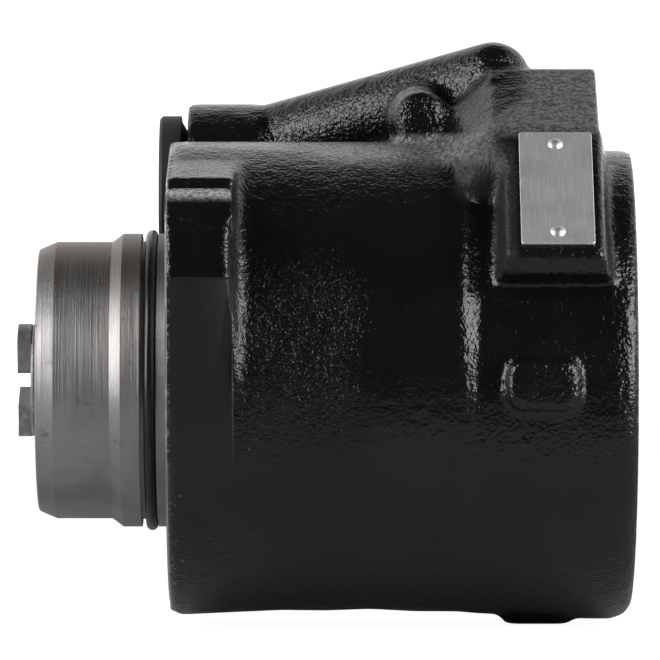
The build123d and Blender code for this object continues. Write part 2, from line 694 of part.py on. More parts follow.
# ---------------------------------------------------------------- flow control valve
def valve_spool():
    """The flow control spool: three lands, two waists and a bore for the relief valve."""
    lands = bar_along_y(SPOOL_NEAR, SPOOL_FAR, VALVE_BORE_R - SLIDING)
    for start in (SPOOL_NEAR + 7, SPOOL_NEAR + 16):
        waist = bar_along_y(start, start + SPOOL_WAIST, VALVE_BORE_R + 1)
        lands = lands - (waist - bar_along_y(start, start + SPOOL_WAIST, 5.4))
    lands = lands - bar_along_y(SPOOL_NEAR - 1, SPOOL_FAR - RELIEF_SEAT_DEPTH, SPOOL_BORE_R)
    return lands - bar_along_y(SPOOL_FAR - RELIEF_SEAT_DEPTH - 1, SPOOL_FAR + 1, RELIEF_SEAT_R)


def relief_ball():
    """The ball rests on the edge of the small drilling at the far end of the spool bore."""
    drop = sqrt(RELIEF_BALL_R ** 2 - RELIEF_SEAT_R ** 2)
    return Pos(VALVE_X, SPOOL_FAR - RELIEF_SEAT_DEPTH - drop - 0.03, VALVE_Z) * Sphere(RELIEF_BALL_R)


def relief_spring():
    ball_near = SPOOL_FAR - RELIEF_SEAT_DEPTH - 2 * RELIEF_BALL_R
    spring_near = SPOOL_NEAR + GUIDE_SCREW_LENGTH
    return bar_along_y(spring_near, ball_near, 3.2) - bar_along_y(spring_near, ball_near, 2.2)


def relief_guide_screw():
    """The hollow set screw that closes the spool bore and carries the relief spring."""
    end = SPOOL_NEAR + GUIDE_SCREW_LENGTH
    return bar_along_y(SPOOL_NEAR, end, SPOOL_BORE_R) - bar_along_y(SPOOL_NEAR, end, 1.5)


def valve_spring():
    return bar_along_y(VALVE_BORE_NEAR, SPOOL_NEAR, 5.8) - bar_along_y(VALVE_BORE_NEAR, SPOOL_NEAR, 4.2)


def valve_plug():
    """The screwed plug: a hexagon head, a collar and a stem that reaches the spool."""
    head_plane = Plane(origin=(VALVE_X, VALVE_BOSS_FAR + 2.0, VALVE_Z), x_dir=(0, 0, 1), z_dir=(0, 1, 0))
    head = extrude(head_plane * RegularPolygon(VALVE_PLUG_HEX / 2, 6, major_radius=False), amount=6.0)
    collar = bar_along_y(VALVE_BOSS_FAR, VALVE_BOSS_FAR + 2.0, 6.4)
    thread = bar_along_y(VALVE_BOSS_FAR - VALVE_THREAD, VALVE_BOSS_FAR, VALVE_BORE_R)
    stem = bar_along_y(SPOOL_FAR + 0.3, VALVE_BOSS_FAR - VALVE_THREAD, 4.0)
    return head + collar + thread + stem


def valve_plug_seal():
    washer = bar_along_y(VALVE_BOSS_FAR, VALVE_BOSS_FAR + 2.0, 8.6)
    return washer - bar_along_y(VALVE_BOSS_FAR, VALVE_BOSS_FAR + 2.0, 6.4)


# ---------------------------------------------------------------- write every piece
pieces = {
    "pump_housing": pump_housing(),
    "spigot_o_ring": o_ring(GROOVE_BACK - 1.75, GROOVE_R + 1.55, 1.55),
    "name_plate": name_plate(),
    "plate_rivets": plate_rivets(),
    "suction_port_cap": suction_port_cap(),
    "coupling_hub": coupling_hub(),
    "drive_shaft": drive_shaft(),
    "bearing_inner_race": bearing_inner_race(),
    "bearing_outer_race": bearing_outer_race(),
    "bearing_rollers": bearing_rollers(),
    "bearing_cage": bearing_cage(),
    "bearing_snap_ring": bearing_snap_ring(),
    "shaft_seal": shaft_seal(),
    "seal_garter_spring": seal_garter_spring(),
    "front_bush": front_bush(),
    "front_port_plate": front_port_plate(),
    "front_plate_o_ring": front_plate_o_ring(),
    "cam_ring": cam_ring(),
    "rotor": rotor(),
    "rotor_circlip": rotor_circlip(),
    "locating_pins": locating_pins(),
    "rear_port_plate": rear_port_plate(),
    "rear_plate_o_ring": rear_plate_o_ring(),
    "rear_bush": rear_bush(),
    "cartridge_spring": cartridge_spring(),
    "rear_cover": rear_cover(),
    "cover_o_ring": cover_o_ring(),
    "cover_snap_ring": cover_snap_ring(),
    "valve_spool": valve_spool(),
    "relief_ball": relief_ball(),
    "relief_spring": relief_spring(),
    "relief_guide_screw": relief_guide_screw(),
    "valve_spring": valve_spring(),
    "valve_plug": valve_plug(),
    "valve_plug_seal": valve_plug_seal(),
}
for index in range(VANE_COUNT):
    pieces[f"vane_{index + 1:02d}"] = vane(index)

for name, shape in pieces.items():
    if isinstance(shape, list):
        shape = Compound(children=shape)
    export_step(shape, f"parts/{name}.step")
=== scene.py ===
"""Hydraulic vane pump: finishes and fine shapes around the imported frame. Metres, +Z up, shaft along X."""
import json
import math

import bmesh
import bpy
from mathutils import Matrix, Vector


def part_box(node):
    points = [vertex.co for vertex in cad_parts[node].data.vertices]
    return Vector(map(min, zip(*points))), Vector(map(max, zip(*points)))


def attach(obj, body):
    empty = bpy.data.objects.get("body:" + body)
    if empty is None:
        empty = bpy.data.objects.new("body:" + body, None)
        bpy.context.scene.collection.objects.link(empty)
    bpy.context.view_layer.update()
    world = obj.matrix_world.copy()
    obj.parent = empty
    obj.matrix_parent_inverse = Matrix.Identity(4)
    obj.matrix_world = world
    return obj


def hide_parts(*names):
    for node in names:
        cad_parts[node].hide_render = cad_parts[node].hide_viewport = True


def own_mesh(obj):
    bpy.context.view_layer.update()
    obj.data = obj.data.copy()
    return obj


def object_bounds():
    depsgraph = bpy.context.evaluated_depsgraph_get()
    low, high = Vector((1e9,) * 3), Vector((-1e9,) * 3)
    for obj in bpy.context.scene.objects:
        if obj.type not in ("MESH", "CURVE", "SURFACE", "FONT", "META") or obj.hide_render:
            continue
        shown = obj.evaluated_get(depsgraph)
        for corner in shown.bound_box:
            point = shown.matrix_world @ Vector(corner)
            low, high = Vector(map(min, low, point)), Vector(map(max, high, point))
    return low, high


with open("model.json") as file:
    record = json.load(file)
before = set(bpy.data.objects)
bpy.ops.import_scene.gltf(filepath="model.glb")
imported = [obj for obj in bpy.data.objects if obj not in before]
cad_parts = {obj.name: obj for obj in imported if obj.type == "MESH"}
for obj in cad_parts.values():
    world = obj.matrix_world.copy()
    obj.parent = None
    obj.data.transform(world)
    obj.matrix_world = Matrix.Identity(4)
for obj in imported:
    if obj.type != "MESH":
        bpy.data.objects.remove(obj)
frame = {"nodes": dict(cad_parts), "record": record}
CAD_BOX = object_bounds()
NODES = frame["nodes"]
BODY_OF = {node: body for body, names in frame["record"]["behaviour"]["bodies"].items() for node in names}
SLOT_OF = {row["node"]: row["material_slot"] for row in frame["record"]["subparts"]}
MOUNTS = {row["name"]: row for row in frame["record"]["mounts"]}
MM = 0.001


# ------------------------------------------------------------------ camera, lamps, floor
def set_camera():
    """A long lens, level with the upper part of the pump, square to the shaft."""
    data = bpy.data.cameras.new("side_camera")
    data.sensor_width = 36.0
    data.lens = 385.6
    data.clip_start = 0.1
    data.clip_end = 20.0
    camera = bpy.data.objects.new("side_camera", data)
    camera.location = (0.04365, -1.930, 0.01365)
    camera.rotation_euler = (math.radians(90), 0, 0)
    bpy.context.scene.collection.objects.link(camera)
    bpy.context.scene.camera = camera


def add_softbox(name, place, aim, width, height, power):
    """A rectangular lamp of the given size in metres and power in watts, aimed at a point."""
    data = bpy.data.lights.new(name, "AREA")
    data.shape = "RECTANGLE"
    data.size = width
    data.size_y = height
    data.energy = power
    lamp = bpy.data.objects.new(name, data)
    lamp.location = place
    lamp.rotation_mode = "QUATERNION"
    lamp.rotation_quaternion = (Vector(aim) - Vector(place)).to_track_quat("-Z", "Y")
    bpy.context.scene.collection.objects.link(lamp)


def set_lamps():
    """Two tall softboxes stand on the table, left and right in front of the pump."""
    middle = (0.045, 0.0, 0.10)
    add_softbox("left_softbox", (-0.95, -0.42, 0.42), middle, 0.60, 1.05, 12.0)
    add_softbox("right_softbox", (1.00, -0.62, 0.42), middle, 0.75, 0.95, 15.0)


class Nodes:
    """Short hand for building a shader tree."""

    def __init__(self, tree):
        self.tree = tree
        tree.nodes.clear()

    def add(self, kind, **values):
        node = self.tree.nodes.new("ShaderNode" + kind)
        for key, value in values.items():
            setattr(node, key, value)
        return node

    def link(self, source, target):
        self.tree.links.new(source, target)

    def fill(self, socket, value):
        """Links another node's output to the socket, or sets it to a constant."""
        if isinstance(value, bpy.types.NodeSocket):
            self.link(value, socket)
        else:
            socket.default_value = value

    def set(self, node, **values):
        for key, value in values.items():
            self.fill(node.inputs[key.replace("_", " ")], value)

    def math(self, operation, first, second=0.0):
        node = self.add("Math", operation=operation)
        self.fill(node.inputs[0], first)
        self.fill(node.inputs[1], second)
        return node.outputs[0]

    def minus(self, first, second):
        return self.math("SUBTRACT", first, second)

    def times(self, first, *others):
        for other in others:
            first = self.math("MULTIPLY", first, other)
        return first

    def plus(self, first, *others):
        for other in others:
            first = self.math("ADD", first, other)
        return first

    def greater(self, first, second):
        return self.math("MAXIMUM", first, second)

    def distance(self, value, centre):
        return self.math("ABSOLUTE", self.minus(value, centre))

    def ramp(self, value, low, high, to_low=0.0, to_high=1.0, smooth=True):
        """Runs from one level to another as the value goes from low to high; low may be the larger."""
        node = self.add("MapRange", interpolation_type="SMOOTHSTEP" if smooth else "LINEAR")
        self.set(node, Value=value, From_Min=low, From_Max=high, To_Min=to_low, To_Max=to_high)
        return node.outputs[0]

    def mix(self, factor, first, second):
        """Blends two colours; inputs 6 and 7 are this node's colour pair."""
        node = self.add("Mix", data_type="RGBA")
        self.fill(node.inputs[0], factor)
        self.fill(node.inputs[6], first)
        self.fill(node.inputs[7], second)
        return node.outputs[2]

    def noise(self, vector, scale, detail=2.0, roughness=0.5):
        node = self.add("TexNoise")
        self.set(node, Vector=vector, Scale=scale, Detail=detail, Roughness=roughness)
        return node.outputs["Fac"]

    def stretched(self, vector, scale):
        node = self.add("Mapping")
        self.set(node, Vector=vector, Scale=scale)
        return node.outputs[0]

    def split(self, vector):
        node = self.add("SeparateXYZ")
        self.link(vector, node.inputs[0])
        return node.outputs


def seen_directly(nodes):
    """One for camera rays and for rays through clear things, which see a plain white surrounding."""
    path = nodes.add("LightPath")
    return nodes.greater(path.outputs["Is Camera Ray"], path.outputs["Is Transmission Ray"])


def set_world():
    """White all round to the eye; for the light itself, bright behind the pump and dim in front of it."""
    wall_light = 0.96
    room_light = 0.035
    world = bpy.data.worlds.new("studio")
    world.use_nodes = True
    bpy.context.scene.world = world
    nodes = Nodes(world.node_tree)
    direction = nodes.split(nodes.add("TexCoord").outputs["Generated"])
    behind = nodes.ramp(direction[1], -0.10, 0.25)
    brightest_low = nodes.ramp(direction[2], 0.10, 0.80, 1.45, 0.50, smooth=False)
    below_top = nodes.ramp(direction[2], 0.90, 0.74)
    level = nodes.plus(nodes.times(behind, below_top, brightest_low, wall_light), room_light)
    background = nodes.add("Background")
    nodes.set(background, Color=(1, 1, 1, 1), Strength=nodes.greater(level, seen_directly(nodes)))
    output = nodes.add("OutputWorld")
    nodes.link(background.outputs[0], output.inputs[0])


def set_floor():
    """A pale table top; its front part, away from the pump, falls off into the dark of the room."""
    half_width = 4.0
    own_glow = 1.19
    share_of_glow = 0.8
    bm = bmesh.new()
    bmesh.ops.create_grid(bm, x_segments=2, y_segments=2, size=half_width)
    bmesh.ops.translate(bm, verts=bm.verts, vec=(0, 0, CAD_BOX[0].z))
    mesh = bpy.data.meshes.new("table_top")
    bm.to_mesh(mesh)
    bm.free()
    floor = bpy.data.objects.new("table_top", mesh)
    bpy.context.scene.collection.objects.link(floor)
    material = bpy.data.materials.new("pale_table")
    material.use_nodes = True
    nodes = Nodes(material.node_tree)
    place = nodes.split(nodes.add("TexCoord").outputs["Object"])
    near = nodes.ramp(place[1], -0.34, -0.14)
    mirrored = nodes.mix(near, (0.03, 0.03, 0.03, 1), (0.46, 0.46, 0.46, 1))
    colour = nodes.mix(nodes.add("LightPath").outputs["Is Glossy Ray"], (0.85, 0.85, 0.85, 1), mirrored)
    lit = nodes.add("BsdfDiffuse")
    nodes.set(lit, Color=colour)
    white = nodes.add("Emission")
    nodes.set(white, Color=(1, 1, 1, 1), Strength=own_glow)
    blend = nodes.add("MixShader")
    nodes.link(nodes.times(seen_directly(nodes), share_of_glow), blend.inputs[0])
    nodes.link(lit.outputs[0], blend.inputs[1])
    nodes.link(white.outputs[0], blend.inputs[2])
    output = nodes.add("OutputMaterial")
    nodes.link(blend.outputs[0], output.inputs[0])
    floor.data.materials.append(material)


# ------------------------------------------------------------------ materials
def start_material(name):
    """A material whose textures are laid out in metres on the piece itself."""
    material = bpy.data.materials.new(name)
    material.use_nodes = True
    nodes = Nodes(material.node_tree)
    shader = nodes.add("BsdfPrincipled")
    output = nodes.add("OutputMaterial")
    nodes.link(shader.outputs[0], output.inputs[0])
    place = nodes.add("TexCoord").outputs["Object"]
    return material, nodes, shader, place


def add_bump(nodes, shader, layers):
    """Stacks bump layers; each is (height, distance in metres)."""
    normal = None
    for height, distance in layers:
        bump = nodes.add("Bump")
        nodes.set(bump, Strength=1.0, Distance=distance, Height=height)
        if normal is not None:
            nodes.link(normal, bump.inputs["Normal"])
        normal = bump.outputs[0]
    nodes.link(normal, shader.inputs["Normal"])


# Places on the casting with a finish of their own, or with painted highlights (the barrel's crest, the ear
# tops, the block slope): a box with soft edges, as (axis, no effect here, full effect here) in millimetres.
MILLED_SIDE = (("z", 27.6, 27.0), ("x", 18.4, 17.6), ("y", -20, -28), ("z", -42, -14), ("x", 0.3, 0.7))
MOUNTING_FACE = (("x", 0.7, 0.3),)
BLOCK_SLOPE = (("z", 64, 68), ("y", 6, 0))
BARREL_CREST = (("z", 56.5, 61.5), ("z", 67.5, 65.5), ("x", 34, 48), ("x", 92, 76), ("y", 4, -6))
EAR_TOP = (("z", 47.2, 50.2), ("y", -53, -54), ("x", 19, 17.5), ("z", 52, 51.5))
PAD_SIDE = (("x", 86.5, 88.5), ("x", 94.5, 92.5), ("z", 24, 32))
RAMP_ROOT = (("x", 75.5, 78.5), ("x", 90, 88.5), ("z", 46, 51))
BELOW_THE_BLOCK = (("z", 66, 62), ("y", -12, -18))
LOWER_FLANGE_EDGE = (("x", 7, 0), ("z", -15, -40))
BARE_FACE = (("x", 0.7, 0.4), ("x", -1.0, -0.6))


def masked(nodes, axes, edges):
    """One inside a soft-edged box, nought outside it."""
    ramps = [nodes.ramp(axes[axis], outside * MM, inside * MM) for axis, outside, inside in edges]
    return nodes.times(*ramps)


def past_the_nose(nodes, axes):
    """One on the port block, past a line that slants clear of the tube's nose."""
    shelf = nodes.math("MINIMUM", nodes.times(nodes.minus(axes["z"], 0.064), 1.5), 0.019)
    return nodes.ramp(nodes.minus(axes["x"], shelf), 0.074, 0.081)


def sand_depth(nodes, axes, patches):
    """How coarse the sand shows: less round the middle of the barrel, more on the sides of the tube."""
    middle = nodes.ramp(nodes.distance(axes["x"], 0.066), 0.024, 0.008)
    thick = nodes.times(middle, 0.40, nodes.ramp(axes["z"], 0.057, 0.046))
    lying = nodes.split(nodes.add("NewGeometry").outputs["Normal"])[2]
    tube = nodes.times(nodes.ramp(axes["z"], 0.062, 0.068), nodes.ramp(lying, 0.72, 0.50, -0.30, 0.62))
    return nodes.plus(nodes.minus(nodes.ramp(patches, 0.36, 0.62, 0.75, 1.15), thick), tube)


def bare_spots(nodes, place, axes):
    """Where the enamel is gone: the milled mounting face, chips along its edge, flecks at its foot."""
    chips = nodes.ramp(nodes.noise(place, 900.0, 3.0, 0.65), 0.56, 0.60)
    flecks = nodes.ramp(nodes.noise(place, 750.0, 2.0, 0.7), 0.66, 0.69)
    edge = nodes.times(nodes.ramp(axes["x"], 0.0016, 0.0), chips)
    foot = nodes.times(masked(nodes, axes, LOWER_FLANGE_EDGE), flecks)
    face = nodes.times(masked(nodes, axes, BARE_FACE), nodes.ramp(chips, 1.0, 0.0, 1.0, 0.8))
    return nodes.greater(nodes.greater(edge, foot), face)


def black_enamel():
    """Thick gloss enamel over rough sand-cast iron, with satin, dusty and bare places, and painted
    highlights on the barrel's crest, the ear tops and the block slope.
    """
    coarse = 0.34 * MM
    fine = 0.09 * MM
    material, nodes, shader, place = start_material("black_enamel_on_casting")
    axes = dict(zip("xyz", nodes.split(place)))
    pebbles = nodes.noise(place, 950.0, 1.5, 0.5)
    grain = nodes.noise(place, 2300.0, 1.0, 0.5)
    waves = nodes.noise(place, 290.0, 1.0, 0.5)
    patches = nodes.noise(place, 55.0, 2.0)

    satin = masked(nodes, axes, MILLED_SIDE)
    dust_and_sheen_slope = nodes.times(masked(nodes, axes, BLOCK_SLOPE), past_the_nose(nodes, axes))
    dull = nodes.greater(masked(nodes, axes, PAD_SIDE), masked(nodes, axes, RAMP_ROOT))
    dull = nodes.times(dull, masked(nodes, axes, BELOW_THE_BLOCK))
    worn = bare_spots(nodes, place, axes)

    # the tops of the pebbles: they carry the painted highlights below, and the dust on the block slope
    pebble_tops = nodes.ramp(pebbles, 0.36, 0.64, 0.30, 1.0)
    blotches = nodes.ramp(patches, 0.3, 0.7)
    colour = nodes.mix(blotches, (0.0030, 0.0029, 0.0033, 1), (0.0050, 0.0047, 0.0050, 1))
    # block slope: grey dust and dry spray, and also a painted sheen that lightens the upward slope
    colour = nodes.mix(nodes.times(dust_and_sheen_slope, pebble_tops), colour, (0.112, 0.112, 0.115, 1))
    # painted highlights: a painted reflection along the barrel's crest and on the ear tops
    for edges, painted_highlight in ((BARREL_CREST, (0.200, 0.200, 0.203, 1)), (EAR_TOP, (0.44, 0.44, 0.443, 1))):
        colour = nodes.mix(nodes.times(masked(nodes, axes, edges), pebble_tops), colour, painted_highlight)
    colour = nodes.mix(worn, colour, (0.36, 0.34, 0.31, 1))

    rough = nodes.plus(nodes.times(grain, 0.12), 0.12)
    for mask, extra in ((worn, 0.25), (dust_and_sheen_slope, 0.16), (satin, 0.30), (dull, 0.34)):
        rough = nodes.plus(rough, nodes.times(mask, extra))
    nodes.set(shader, Base_Color=colour, Roughness=rough, Metallic=worn, IOR=1.5)

    cut = nodes.greater(nodes.times(satin, 0.8), masked(nodes, axes, MOUNTING_FACE))
    cast = nodes.minus(1.0, cut)
    near_flange = nodes.ramp(nodes.distance(axes["x"], 0.036), 0.024, 0.010)
    glints = nodes.times(near_flange, nodes.ramp(nodes.distance(axes["z"], 0.0), 0.050, 0.020))
    grain_depth = nodes.plus(nodes.times(glints, 1.8), 0.5)
    add_bump(nodes, shader, [
        (nodes.times(waves, cast), coarse),
        (nodes.times(pebbles, sand_depth(nodes, axes, patches), cast), coarse),
        (nodes.times(grain, grain_depth, cast), fine)])
    return material


def turned_iron():
    """Bare lathe-turned iron: fine rings across the shaft, faint stains, browner towards the top."""
    material, nodes, shader, place = start_material("turned_bare_iron")
    z = nodes.split(place)[2]
    rings = nodes.noise(nodes.stretched(place, (1.0, 0.0008, 0.0008)), 5200.0, 3.0, 0.7)
    wide = nodes.noise(nodes.stretched(place, (1.0, 0.003, 0.003)), 900.0, 2.0)
    specks = nodes.noise(place, 1500.0, 2.0, 0.6)
    stain = nodes.noise(place, 38.0, 3.0, 0.6)
    spots = nodes.noise(place, 260.0, 4.0, 0.7)
    colour = nodes.mix(nodes.ramp(stain, 0.40, 0.72), (0.40, 0.388, 0.382, 1), (0.288, 0.2794, 0.2750, 1))
    colour = nodes.mix(nodes.times(nodes.ramp(z, 0.020, 0.034), 0.8), colour, (0.20, 0.175, 0.155, 1))
    colour = nodes.mix(nodes.times(nodes.ramp(spots, 0.60, 0.75), 0.5), colour, (0.10, 0.085, 0.075, 1))
    rough = nodes.plus(nodes.times(stain, 0.18), 0.33)
    nodes.set(shader, Base_Color=colour, Roughness=rough, Metallic=1.0)
    add_bump(nodes, shader, [(wide, 0.000010), (rings, 0.00013), (specks, 0.000025)])
    return material


def plain_metal(name, base, roughness, stain_depth=0.7):
    """A machined or plated metal with faint stains and a fine grain."""
    material, nodes, shader, place = start_material(name)
    stain = nodes.noise(place, 120.0, 3.0, 0.6)
    grain = nodes.noise(place, 1200.0, 3.0, 0.65)
    stained = tuple(c * stain_depth for c in base) + (1,)
    colour = nodes.mix(nodes.ramp(stain, 0.35, 0.70), tuple(base) + (1,), stained)
    rough = nodes.plus(nodes.times(grain, 0.15), roughness)
    nodes.set(shader, Base_Color=colour, Roughness=rough, Metallic=1.0)
    add_bump(nodes, shader, [(grain, 0.000004)])
    return material


def oiled_steel():
    """Phosphated steel of the coupling claws and the rings, rubbed brighter in places."""
    material, nodes, shader, place = start_material("phosphated_steel")
    grain = nodes.noise(place, 1600.0, 4.0, 0.7)
    rubs = nodes.noise(nodes.stretched(place, (1.0, 0.3, 1.0)), 420.0, 3.0, 0.6)
    colour = nodes.mix(nodes.ramp(rubs, 0.45, 0.75), (0.26, 0.26, 0.265, 1), (0.44, 0.44, 0.445, 1))
    rough = nodes.plus(nodes.times(grain, 0.25), 0.38)
    nodes.set(shader, Base_Color=colour, Roughness=rough, Metallic=0.75)
    add_bump(nodes, shader, [(grain, 0.00003)])
    return material


def black_rubber():
    """Moulded nitrile, glossy where an oil film lies on it."""
    material, nodes, shader, place = start_material("nitrile_rubber")
    grain = nodes.noise(place, 1800.0, 2.0)
    film = nodes.noise(place, 160.0, 3.0)
    colour = nodes.mix(film, (0.004, 0.004, 0.004, 1), (0.008, 0.008, 0.008, 1))
    rough = nodes.plus(nodes.times(film, 0.20), 0.18)
    nodes.set(shader, Base_Color=colour, Roughness=rough, IOR=1.52)
    add_bump(nodes, shader, [(grain, 0.000006)])
    return material


def cap_plastic():
    """Matte moulded polyethylene with a fine spark-eroded grain."""
    material, nodes, shader, place = start_material("moulded_cap_plastic")
    grain = nodes.noise(place, 2600.0, 2.0, 0.6)
    flow = nodes.noise(place, 90.0, 3.0)
    colour = nodes.mix(flow, (0.011, 0.0125, 0.0125, 1), (0.019, 0.020, 0.020, 1))
    rough = nodes.plus(nodes.times(flow, 0.1), 0.50)
    nodes.set(shader, Base_Color=colour, Roughness=rough, IOR=1.5)
    add_bump(nodes, shader, [(grain, 0.00002)])
    return material


def plate_aluminium():
    """Satin name plate stock: fine brushing along the plate and a few scratches."""
    material, nodes, shader, place = start_material("satin_plate_aluminium")
    brushed = nodes.noise(nodes.stretched(place, (1.0, 0.03, 0.03)), 4200.0, 3.0, 0.7)
    soil = nodes.noise(place, 140.0, 3.0, 0.6)
    scratch = nodes.noise(nodes.stretched(place, (0.15, 1.0, 1.0)), 1300.0, 2.0, 0.8)
    colour = nodes.mix(nodes.ramp(soil, 0.4, 0.75), (0.96, 0.96, 0.95, 1), (0.86, 0.85, 0.82, 1))
    rough = nodes.plus(nodes.times(brushed, 0.18), 0.42)
    nodes.set(shader, Base_Color=colour, Roughness=rough, Metallic=1.0)
    add_bump(nodes, shader, [(brushed, 0.000004), (nodes.ramp(scratch, 0.66, 0.70), 0.000006)])
    return material


FINISHES = {
    "black_enamel": black_enamel(),
    "turned_iron": turned_iron(),
    "black_rubber": black_rubber(),
    "plate_aluminium": plate_aluminium(),
    "rivet_steel": plain_metal("bright_rivet", (0.93, 0.93, 0.92), 0.36, 0.92),
    "cap_plastic": cap_plastic(),
    "oiled_steel": oiled_steel(),
    "ground_steel": plain_metal("ground_steel", (0.55, 0.54, 0.52), 0.24),
    "bearing_steel": plain_metal("polished_bearing_steel", (0.66, 0.66, 0.66), 0.10, 0.85),
    "bronze": plain_metal("bearing_bronze", (0.56, 0.37, 0.17), 0.28),
    "spring_steel": plain_metal("tempered_spring_steel", (0.28, 0.27, 0.27), 0.30),
    "zinc_steel": plain_metal("zinc_plate", (0.58, 0.58, 0.57), 0.26, 0.8),
    "copper": plain_metal("soft_copper", (0.72, 0.36, 0.22), 0.30, 0.75),
}


# ------------------------------------------------------------------ mesh helpers
def place_piece(name, mesh, node, slot):
    """Puts a finished mesh in the scene, riding on the node's body, with the finish of a slot."""
    piece = bpy.data.objects.new(name, mesh)
    bpy.context.scene.collection.objects.link(piece)
    mesh.materials.clear()
    mesh.materials.append(FINISHES[slot])
    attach(piece, BODY_OF[node])
    return piece


def stand_in(name, mesh, node, slot=None):
    """A finished piece that stands for its CAD node."""
    piece = place_piece(name, mesh, node, slot or SLOT_OF[node])
    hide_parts(node)
    return piece


def merged_copy(node):
    """The CAD node's surface with its loose triangles joined up."""
    bm = bmesh.new()
    bm.from_mesh(NODES[node].data)
    bmesh.ops.remove_doubles(bm, verts=bm.verts, dist=0.5e-6)
    return bm


def mesh_from(bm, name):
    """Closes the bmesh into a mesh, without the normals that a CAD copy brings along."""
    mesh = bpy.data.meshes.new(name)
    bm.to_mesh(mesh)
    bm.free()
    if "custom_normal" in mesh.attributes:
        mesh.attributes.remove(mesh.attributes["custom_normal"])
    return mesh


def smooth_by_angle(mesh, degrees):
    """Smooth shading, but sharp edges where faces meet at more than the angle."""
    mesh.shade_smooth()
    mesh.set_sharp_from_angle(angle=math.radians(degrees))


def spin(bm, geom, centre, axis, angle, steps, rise=(0, 0, 0), closed=False):
    """Turns the given geometry round an axis, rising a little with each step for a helix."""
    bmesh.ops.spin(
        bm, geom=geom, cent=centre, axis=axis, dvec=rise, angle=angle, steps=steps,
        use_merge=closed, use_duplicate=False)


def baked(obj):
    """The object's mesh with its modifiers applied; the object is removed."""
    graph = bpy.context.evaluated_depsgraph_get()
    mesh = bpy.data.meshes.new_from_object(obj.evaluated_get(graph))
    bpy.data.objects.remove(obj)
    return mesh


def temporary(mesh):
    """A work object that lives only until it is baked."""
    obj = bpy.data.objects.new("work", mesh)
    bpy.context.scene.collection.objects.link(obj)
    return obj


def cone(bm, start, end, start_radius, end_radius, segments=96):
    """Adds a closed round bar between two points, tapered if its radii differ."""
    turn = (end - start).to_track_quat("Z", "Y").to_matrix().to_4x4()
    place = Matrix.Translation((start + end) / 2) @ turn
    bmesh.ops.create_cone(
        bm, cap_ends=True, segments=segments, radius1=start_radius, radius2=end_radius,
        depth=(end - start).length, matrix=place)


def edged_piece(node):
    """A piece straight from its CAD node, with its sharp edges broken by a small bevel."""
    sharp = 32.0
    bm = merged_copy(node)
    bmesh.ops.dissolve_limit(
        bm, angle_limit=math.radians(0.6), verts=bm.verts, edges=bm.edges,
        use_dissolve_boundaries=False)
    mesh = mesh_from(bm, node + "_finished")
    smooth_by_angle(mesh, sharp)
    piece = stand_in(node + "_finished", mesh, node)
    bevel = piece.modifiers.new("broken_edges", "BEVEL")
    bevel.width = 0.2 * MM
    bevel.segments = 2
    bevel.limit_method = "ANGLE"
    bevel.angle_limit = math.radians(sharp)
    bevel.harden_normals = True


# ------------------------------------------------------------------ housing
SKIN_GRAIN = 1.1 * MM        # voxel of the cast skin
BOLT_TURN = 143.47           # angle of the first flange thread round the shaft, degrees
BOLT_DEPTH = 15.0 * MM
EAR_FACE = 67.0 * MM         # side of each ear, out from the shaft
EAR_BACK = 18.2 * MM
EAR_R = 15.0 * MM
NEAR_EAR_TOP = 51.3 * MM
FAR_EAR_TOP = 49.5 * MM
STEP_FOOT = 27.4 * MM        # where the milled side of the near ear starts
SHAFT_HOLE_R = 14.0 * MM
BUSH_SEAT_R = 14.5 * MM
SUCTION_BORE_R = 17.2 * MM
SUCTION_DEPTH = 22.0 * MM
SLIDING_FIT = 0.02 * MM
THROUGH = 8.0 * MM           # how far a cutter runs on past the mouth of an open bore
WIDE_BORE = 30.0 * MM
LEAD_IN_LENGTH = 1.0 * MM
LEAD_IN_RISE = 2.0 * MM


def bolt_places():
    """Where the two flange threads cross the mounting face, as (y, z)."""
    angle = math.radians(BOLT_TURN)
    reach = MOUNTS["flange_bolts"]["dims"]["pcd_mm"] / 2 * MM
    return [(reach * math.cos(angle + half), reach * math.sin(angle + half)) for half in (0, math.pi)]


def pressure_port():
    """The bottom, the mouth and the radius of the port on top."""
    port = Vector(MOUNTS["pressure_port"]["pos_m"])
    sizes = MOUNTS["pressure_port"]["dims"]
    half = Vector((0, 0, sizes["length_mm"] / 2 * MM))
    return port - half, port + half, sizes["r_mm"] * MM


